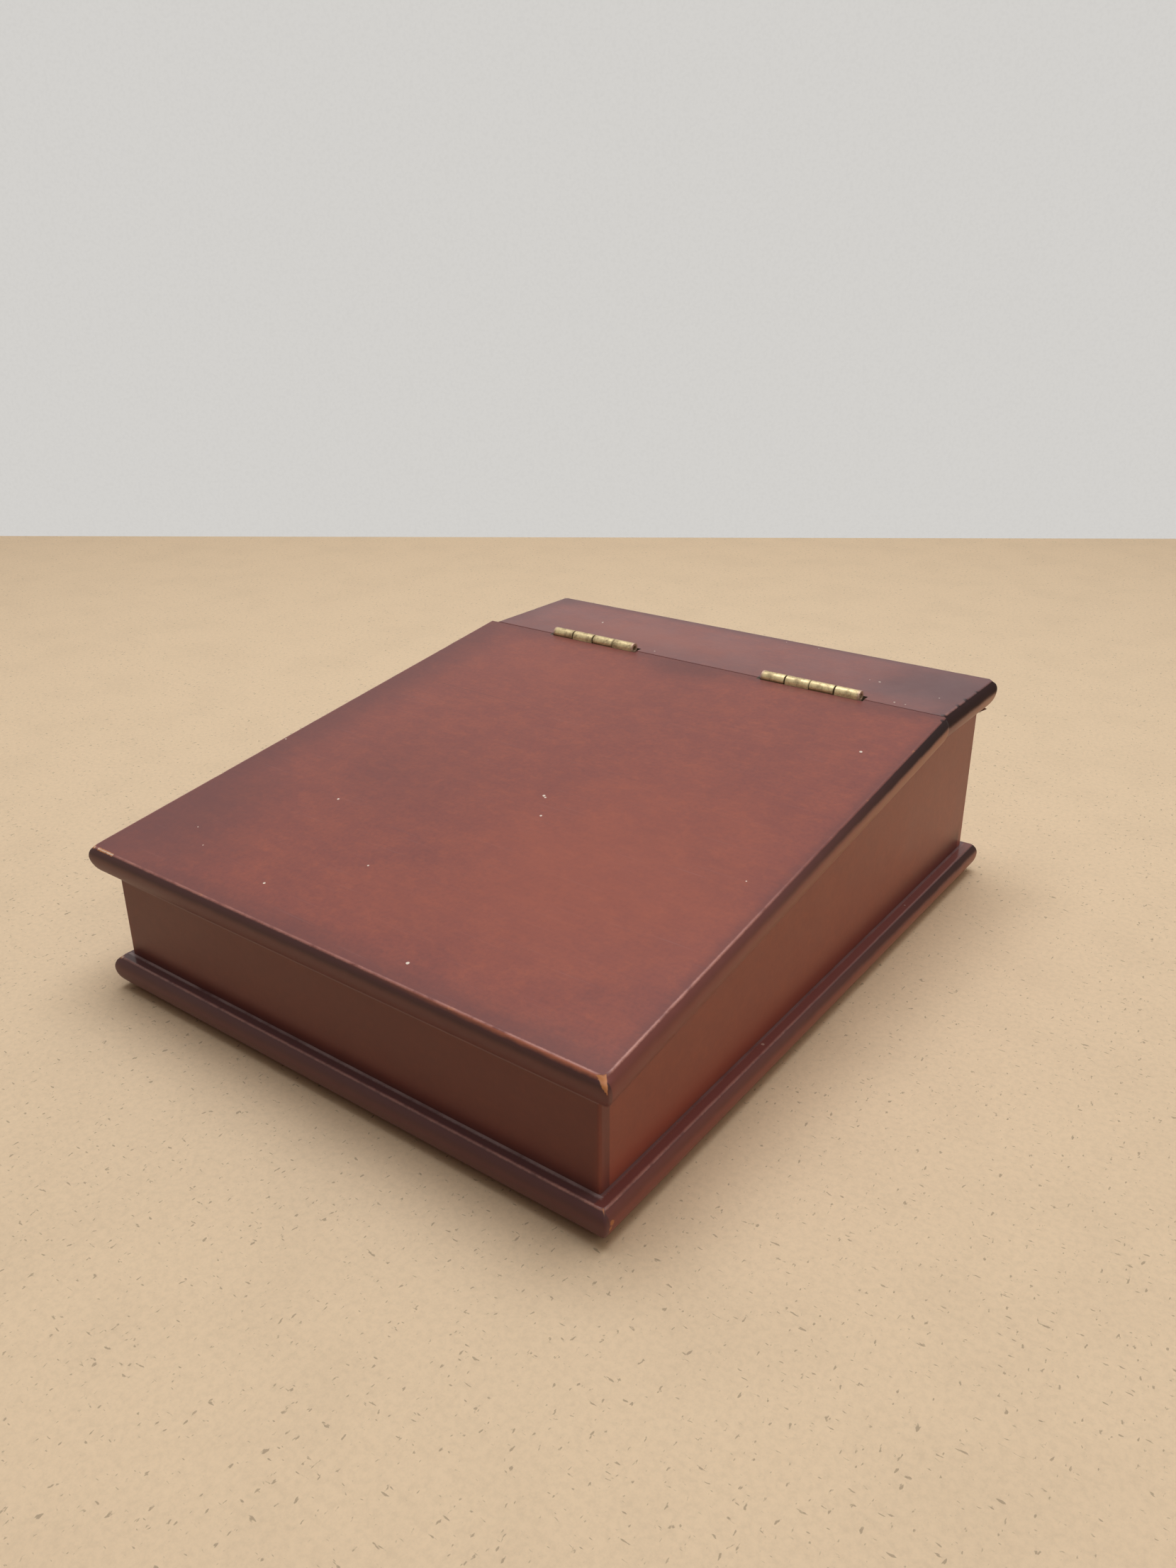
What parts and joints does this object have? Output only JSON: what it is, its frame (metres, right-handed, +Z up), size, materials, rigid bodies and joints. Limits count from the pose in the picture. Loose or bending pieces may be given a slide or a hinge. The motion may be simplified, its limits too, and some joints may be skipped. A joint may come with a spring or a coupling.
{
  "type": "lap desk",
  "caption": "Slant-top wooden lap desk: a shallow box on a wider base board, with a fixed rear ledge and a sloping writing lid hinged to it by two brass butt hinges.",
  "frame": {"origin": "on the table, under the middle of the whole desk's width and depth", "axes": "+X to the writer's right, +Y from the front edge to the rear ledge, +Z up"},
  "size_m": [0.2586, 0.3132, 0.1024],
  "materials": {
    "lacquered_wood": "satin to gloss mahogany-red lacquer",
    "dowel_wood": "bare",
    "aged_brass": "aged, mottled",
    "screw_brass": "dull",
    "pin_steel": "dark",
    "fixing_steel": "zinc plated",
    "baize": "dark green felted wool"
  },
  "bodies": {
    "case": {"base_board": "lacquered_wood", "underside_baize": "baize", "front_wall": "lacquered_wood", "back_wall": "lacquered_wood", "left_wall": "lacquered_wood", "right_wall": "lacquered_wood", "rear_ledge": "lacquered_wood", "hinge_left_ledge_leaf": "aged_brass", "hinge_right_ledge_leaf": "aged_brass", "hinge_left_pin": "pin_steel", "hinge_right_pin": "pin_steel", "hinge_left_ledge_screws": "screw_brass", "hinge_right_ledge_screws": "screw_brass", "base_screws": "fixing_steel", "ledge_dowels": "dowel_wood", "corner_brads": "fixing_steel"},
    "lid": {"writing_lid": "lacquered_wood", "hinge_left_lid_leaf": "aged_brass", "hinge_right_lid_leaf": "aged_brass", "hinge_left_lid_screws": "screw_brass", "hinge_right_lid_screws": "screw_brass"}
  },
  "joints": [
    {"name": "lid_hinge", "type": "hinge", "parent": "case", "child": "lid", "pos_m": [0.0017, 0.09555, 0.0998], "axis": [-1, 0, 0], "range_deg": [0, 188]}
  ]
}
